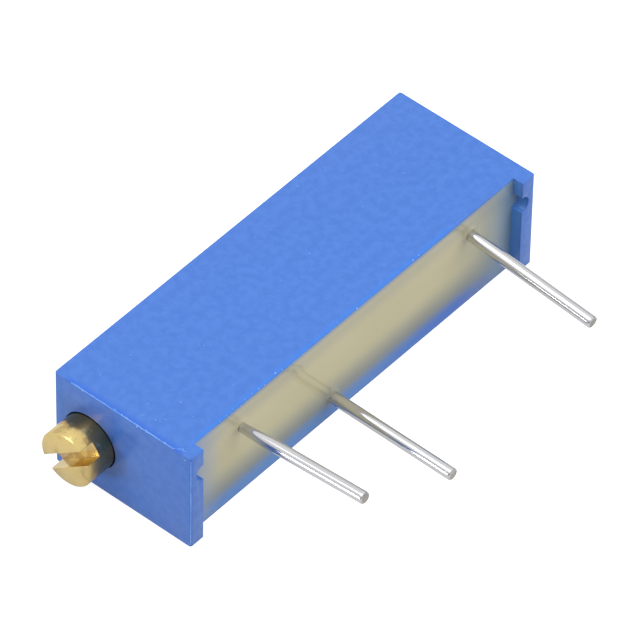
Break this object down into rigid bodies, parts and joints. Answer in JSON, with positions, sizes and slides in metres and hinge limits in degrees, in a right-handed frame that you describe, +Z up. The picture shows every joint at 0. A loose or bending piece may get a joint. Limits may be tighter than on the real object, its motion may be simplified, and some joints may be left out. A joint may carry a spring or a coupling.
{
  "type": "trimmer potentiometer",
  "caption": "Rectangular multiturn trimmer potentiometer with a slotted adjusting screw in one end and leaning wire terminals.",
  "frame": {"origin": "the point where the axis of the first terminal crosses the plane of the two feet", "axes": "+X from the screw end to the far end, -Y the way the terminals point, +Z up from the broad side that the part lies on"},
  "size_m": [0.0204, 0.012, 0.0046],
  "materials": {
    "housing": "satin",
    "screw": "satin",
    "seal": "matte",
    "clip": "satin",
    "carriage": "satin",
    "contact": "satin",
    "substrate": "matte",
    "resistive_film": "satin",
    "conductor_film": "satin",
    "tinned_wire": "polished",
    "solder": "polished",
    "potting": "gloss"
  },
  "bodies": {
    "body": {"housing": "housing", "screw_retainer": "clip", "ceramic_substrate": "substrate", "resistive_track": "resistive_film", "collector_track": "conductor_film", "end_pad_1": "conductor_film", "end_pad_3": "conductor_film", "terminal_1": "tinned_wire", "terminal_2": "tinned_wire", "terminal_3": "tinned_wire", "solder_1": "solder", "solder_2": "solder", "solder_3": "solder", "potting_fill": "potting"},
    "screw": {"adjusting_screw": "screw", "shaft_seal": "seal"},
    "carriage": {"wiper_carriage": "carriage", "wiper_contact": "contact"}
  },
  "joints": [
    {"name": "screw_turn", "type": "hinge", "parent": "body", "child": "screw", "pos_m": [0, 0.00482, -0.00132], "axis": [1, 0, 0], "range_deg": [-2700, 2700]},
    {"name": "carriage_slide", "type": "slide", "parent": "body", "child": "carriage", "axis": [1, 0, 0], "range_m": [-0.00602, 0.00602]}
  ],
  "couplings": [
    {"joint": "carriage_slide", "follows": "screw_turn", "m_per_rad": -0.00012732}
  ]
}
